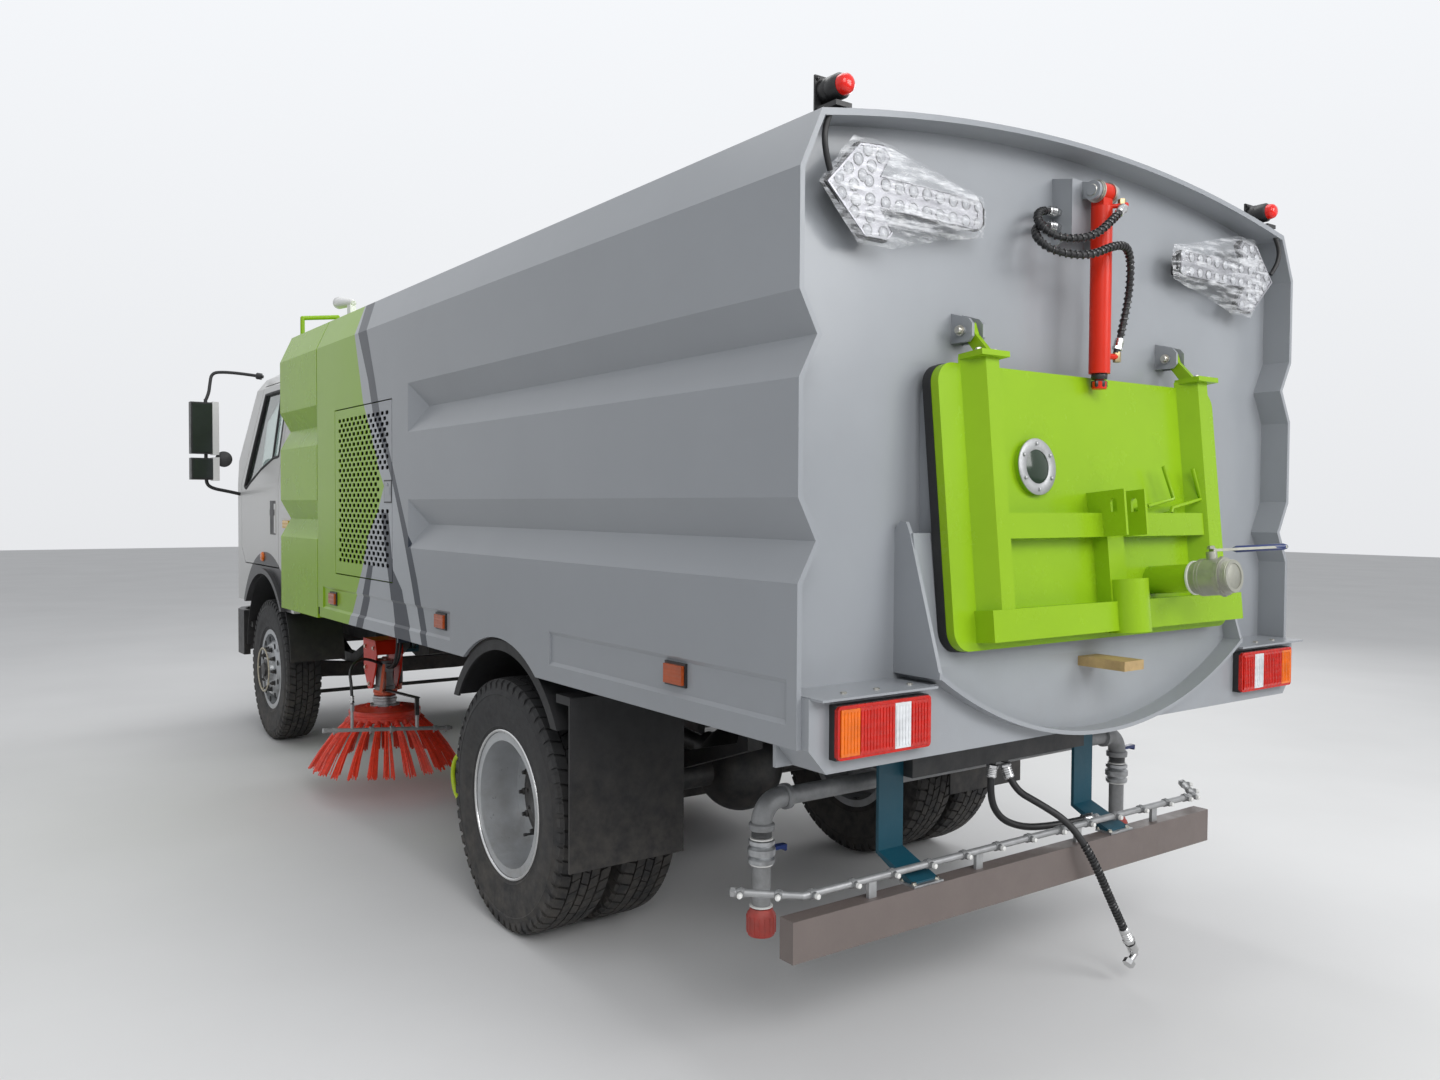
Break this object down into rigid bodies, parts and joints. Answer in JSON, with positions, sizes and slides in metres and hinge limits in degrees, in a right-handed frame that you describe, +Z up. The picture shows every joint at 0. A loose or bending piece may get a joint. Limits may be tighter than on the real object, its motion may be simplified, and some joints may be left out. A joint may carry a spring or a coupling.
{
  "type": "street sweeper truck",
  "caption": "Street sweeper truck with a tilting cab, a tipping grooved hopper body, a rear discharge door, hoists, side brushes and a suction nozzle.",
  "frame": {"origin": "on the ground, under the middle of the whole truck", "axes": "+X forward, +Y to the left, +Z up"},
  "size_m": [7.4684, 2.66, 2.789],
  "materials": {
    "chassis_paint": "satin",
    "engine_iron": "matte",
    "green_paint": "gloss",
    "aluminium": "satin",
    "black_plastic": "matte",
    "teal_paint": "gloss",
    "galvanised_steel": "satin",
    "stainless_steel": "gloss",
    "white_plastic": "gloss",
    "hose_rubber": "matte",
    "tyre_rubber": "matte",
    "rim_paint": "satin",
    "grey_paint": "gloss",
    "lamp_plastic": "gloss",
    "clear_lens": "gloss",
    "red_paint": "gloss",
    "orange_paint": "satin",
    "brush_plastic": "matte",
    "white_paint": "gloss",
    "upholstery": "matte"
  },
  "bodies": {
    "chassis": {"chassis_frame": "chassis_paint", "front_axle": "chassis_paint", "rear_axle": "chassis_paint", "drive_engine": "engine_iron", "propeller_shaft": "chassis_paint", "sweeper_engine": "engine_iron", "water_tank": "green_paint", "fuel_tank": "aluminium", "suction_nozzle": "chassis_paint", "rear_mudguards": "black_plastic", "under_run_guard": "teal_paint", "drain_pipes": "galvanised_steel", "rear_spray_bar": "stainless_steel", "brush_pivots": "teal_paint", "front_bumper": "white_plastic", "headlamps": "clear_lens", "rear_hose": "hose_rubber", "rear_hose_elbow": "stainless_steel", "loop_hose": "hose_rubber"},
    "left_knuckle": {"knuckle_left": "chassis_paint"},
    "right_knuckle": {"knuckle_right": "chassis_paint"},
    "tie_rod": {"tie_rod": "chassis_paint"},
    "front_left_wheel": {"front_tyre_left": "tyre_rubber", "front_rim_left": "rim_paint"},
    "front_right_wheel": {"front_tyre_right": "tyre_rubber", "front_rim_right": "rim_paint"},
    "rear_left_wheels": {"rear_tyres_left": "tyre_rubber", "rear_rims_left": "rim_paint"},
    "rear_right_wheels": {"rear_tyres_right": "tyre_rubber", "rear_rims_right": "rim_paint"},
    "hopper": {"hopper": "grey_paint", "rear_panel": "grey_paint", "tail_lamps": "lamp_plastic", "arrow_lamps": "lamp_plastic", "beacons": "lamp_plastic"},
    "left_access_door": {"access_door_left": "grey_paint"},
    "right_access_door": {"access_door_right": "grey_paint"},
    "rear_door": {"rear_door": "green_paint", "drain_valve": "stainless_steel"},
    "door_cylinder": {"door_cylinder": "red_paint", "cylinder_hose_top": "hose_rubber", "cylinder_hose_bottom": "hose_rubber"},
    "hoist_barrels": {"hoist_barrels": "chassis_paint"},
    "hoist_rods": {"hoist_rods": "stainless_steel"},
    "left_brush_arm": {"brush_arm_left": "chassis_paint"},
    "left_brush_head": {"brush_head_left": "orange_paint"},
    "left_brush": {"side_brush_left": "brush_plastic"},
    "right_brush_arm": {"brush_arm_right": "chassis_paint"},
    "right_brush_head": {"brush_head_right": "orange_paint"},
    "right_brush": {"side_brush_right": "brush_plastic"},
    "cab": {"cab": "white_paint", "cab_mirrors": "black_plastic", "cab_seats": "upholstery", "dashboard": "black_plastic"},
    "left_cab_door": {"cab_door_left": "white_paint"},
    "right_cab_door": {"cab_door_right": "white_paint"}
  },
  "joints": [
    {"name": "left_steering", "type": "hinge", "parent": "chassis", "child": "left_knuckle", "pos_m": [2.653, 0.69, 0.47], "axis": [0, 0, 1], "range_deg": [-32, 32]},
    {"name": "right_steering", "type": "hinge", "parent": "chassis", "child": "right_knuckle", "pos_m": [2.653, -0.69, 0.47], "axis": [0, 0, 1], "range_deg": [-32, 32]},
    {"name": "tie_rod_swing", "type": "hinge", "parent": "left_knuckle", "child": "tie_rod", "pos_m": [2.473, 0.69, 0.33], "axis": [0, 0, 1], "range_deg": [-32, 32]},
    {"name": "front_left_wheel_spin", "type": "hinge", "parent": "left_knuckle", "child": "front_left_wheel", "pos_m": [2.653, 0.85, 0.487], "axis": [0, 1, 0], "continuous": true},
    {"name": "rear_left_wheels_spin", "type": "hinge", "parent": "chassis", "child": "rear_left_wheels", "pos_m": [-1.547, 0.886, 0.487], "axis": [0, 1, 0], "continuous": true},
    {"name": "front_right_wheel_spin", "type": "hinge", "parent": "right_knuckle", "child": "front_right_wheel", "pos_m": [2.653, -0.85, 0.487], "axis": [0, 1, 0], "continuous": true},
    {"name": "rear_right_wheels_spin", "type": "hinge", "parent": "chassis", "child": "rear_right_wheels", "pos_m": [-1.547, -0.886, 0.487], "axis": [0, 1, 0], "continuous": true},
    {"name": "cab_tilt", "type": "hinge", "parent": "chassis", "child": "cab", "pos_m": [3.648, 0, 0.88], "axis": [0, 1, 0], "range_deg": [0, 45]},
    {"name": "left_cab_door_hinge", "type": "hinge", "parent": "cab", "child": "left_cab_door", "pos_m": [3.346, 0.976, 1.8], "axis": [0, 0, -1], "range_deg": [0, 65]},
    {"name": "right_cab_door_hinge", "type": "hinge", "parent": "cab", "child": "right_cab_door", "pos_m": [3.346, -0.976, 1.8], "axis": [0, 0, 1], "range_deg": [0, 65]},
    {"name": "hopper_tip", "type": "hinge", "parent": "chassis", "child": "hopper", "pos_m": [-3.167, 0, 0.95], "axis": [0, -1, 0], "range_deg": [0, 45]},
    {"name": "hoist_barrel_swing", "type": "hinge", "parent": "chassis", "child": "hoist_barrels", "pos_m": [-0.797, 0, 0.66], "axis": [0, 1, 0], "range_deg": [0, 19.2]},
    {"name": "hoist_rod_slide", "type": "slide", "parent": "hoist_barrels", "child": "hoist_rods", "axis": [-0.9762, 0, 0.2169], "range_m": [0, 0.562]},
    {"name": "left_access_door_hinge", "type": "hinge", "parent": "hopper", "child": "left_access_door", "pos_m": [0.41, 1.178, 1.68], "axis": [0, 0, -1], "range_deg": [0, 100]},
    {"name": "right_access_door_hinge", "type": "hinge", "parent": "hopper", "child": "right_access_door", "pos_m": [0.41, -1.178, 1.68], "axis": [0, 0, 1], "range_deg": [0, 100]},
    {"name": "rear_door_hinge", "type": "hinge", "parent": "hopper", "child": "rear_door", "pos_m": [-3.302, 0, 2.14], "axis": [0, 1, 0], "range_deg": [0, 70]},
    {"name": "door_cylinder_hinge", "type": "hinge", "parent": "hopper", "child": "door_cylinder", "pos_m": [-3.377, 0, 2.6], "axis": [0, 1, 0], "range_deg": [0, 43]},
    {"name": "left_brush_swing", "type": "hinge", "parent": "chassis", "child": "left_brush_arm", "pos_m": [1.253, 0.5, 0.795], "axis": [0, 0, -1], "range_deg": [0, 35]},
    {"name": "left_brush_lift", "type": "slide", "parent": "left_brush_arm", "child": "left_brush_head", "axis": [0, 0, -1], "range_m": [0, 0.155]},
    {"name": "left_brush_spin", "type": "hinge", "parent": "left_brush_head", "child": "left_brush", "pos_m": [0.753, 0.8, 0.53], "axis": [0, 0, 1], "continuous": true},
    {"name": "right_brush_swing", "type": "hinge", "parent": "chassis", "child": "right_brush_arm", "pos_m": [1.253, -0.5, 0.795], "axis": [0, 0, 1], "range_deg": [0, 35]},
    {"name": "right_brush_lift", "type": "slide", "parent": "right_brush_arm", "child": "right_brush_head", "axis": [0, 0, -1], "range_m": [0, 0.155]},
    {"name": "right_brush_spin", "type": "hinge", "parent": "right_brush_head", "child": "right_brush", "pos_m": [0.753, -0.8, 0.53], "axis": [0, 0, 1], "continuous": true}
  ],
  "couplings": [
    {"joint": "right_steering", "follows": "left_steering", "ratio": 1},
    {"joint": "tie_rod_swing", "follows": "left_steering", "ratio": -1},
    {"joint": "hoist_barrel_swing", "follows": "hopper_tip", "ratio": 0.42352},
    {"joint": "hoist_rod_slide", "follows": "hopper_tip", "m_per_rad": 0.71424},
    {"joint": "door_cylinder_hinge", "follows": "rear_door_hinge", "ratio": 0.61}
  ]
}
